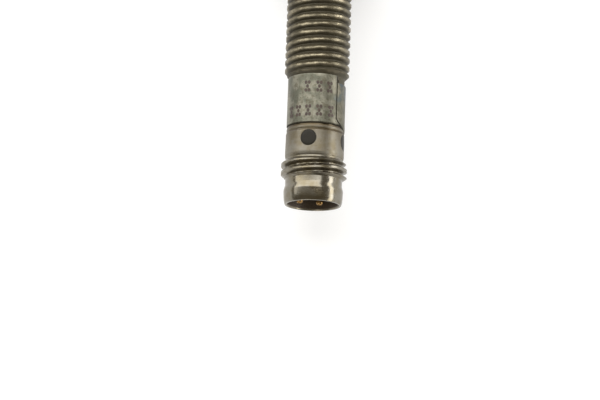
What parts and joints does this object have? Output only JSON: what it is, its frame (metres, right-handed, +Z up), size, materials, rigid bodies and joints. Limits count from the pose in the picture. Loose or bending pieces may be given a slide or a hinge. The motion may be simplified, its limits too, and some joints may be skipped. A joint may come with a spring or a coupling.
{
  "type": "proximity sensor",
  "caption": "Slim threaded-barrel inductive proximity sensor with label, LED ring, three-pin plug connector, fixing nuts and toothed lock washers.",
  "frame": {"origin": "centre of the sensing face", "axes": "+Y out of the sensing face along the barrel's axis, the connector's mouth towards -Y, +Z up with a flat of each fixing nut at the bottom, +X right when looking along +Y"},
  "size_m": [0.015, 0.066, 0.013],
  "materials": {
    "barrel_steel": "turned and threaded stainless steel, slightly dull",
    "nickel": "warm nickel plating, turned",
    "nut_nickel": "nickel plating",
    "gold": "gold-plated contact",
    "copper": "bare copper",
    "label": "silver-grey matt film",
    "black_plastic": "moulded",
    "cap_plastic": "moulded, matt",
    "window": "smoked, translucent",
    "light_guide": "clear",
    "ferrite": "sintered",
    "white_plastic": "moulded",
    "board": "solder resist",
    "component": "moulded epoxy",
    "ceramic": "ceramic",
    "led": "clear yellow",
    "resin": "cast",
    "sleeve": "insulating film",
    "wire_brown": "insulation",
    "wire_blue": "insulation",
    "wire_black": "insulation"
  },
  "bodies": {
    "sensor": {"barrel": "barrel_steel", "sensing_cap": "cap_plastic", "shield_ring": "copper", "ferrite_core": "ferrite", "coil_bobbin": "white_plastic", "coil_winding": "copper", "coil_lead_left": "copper", "coil_lead_right": "copper", "board_holder": "white_plastic", "circuit_board": "board", "tuning_capacitor": "ceramic", "oscillator_ic": "component", "threshold_resistor": "component", "hysteresis_resistor": "component", "output_transistor": "component", "base_resistor": "component", "supply_capacitor": "ceramic", "protection_diode": "component", "filter_capacitor": "ceramic", "voltage_regulator": "component", "surge_suppressor": "component", "led_resistor": "component", "led_chip_upper": "led", "led_chip_lower": "led", "supply_wire_brown": "wire_brown", "ground_wire_blue": "wire_blue", "signal_wire_black": "wire_black", "insulating_sleeve": "sleeve", "light_guide": "light_guide", "led_window_1": "window", "led_window_2": "window", "led_window_3": "window", "led_window_4": "window", "label_film": "label", "connector_shell": "nickel", "contact_carrier": "black_plastic", "rear_seal_resin": "resin", "contact_pin_1": "gold", "contact_pin_3": "gold", "contact_pin_4": "gold"},
    "front_lock_washer": {"front_washer": "nut_nickel"},
    "front_fixing_nut": {"front_nut": "nut_nickel"},
    "rear_lock_washer": {"rear_washer": "nut_nickel"},
    "rear_fixing_nut": {"rear_nut": "nut_nickel"}
  },
  "joints": [
    {"name": "front_washer_slide", "type": "slide", "parent": "sensor", "child": "front_lock_washer", "axis": [0, 1, 0], "range_m": [-0.0016, 0.0231]},
    {"name": "front_nut_turn", "type": "hinge", "parent": "front_lock_washer", "child": "front_fixing_nut", "pos_m": [0, -0.026, 0], "axis": [0, 1, 0], "range_deg": [-540, 8280]},
    {"name": "rear_washer_slide", "type": "slide", "parent": "sensor", "child": "rear_lock_washer", "axis": [0, 1, 0], "range_m": [-0.0126, 0.0016]},
    {"name": "rear_nut_turn", "type": "hinge", "parent": "rear_lock_washer", "child": "rear_fixing_nut", "pos_m": [0, -0.0349, 0], "axis": [0, 1, 0], "range_deg": [-4500, 540]}
  ],
  "couplings": [
    {"joint": "front_washer_slide", "follows": "front_nut_turn", "m_per_rad": 0.00015915},
    {"joint": "rear_washer_slide", "follows": "rear_nut_turn", "m_per_rad": 0.00015915}
  ]
}
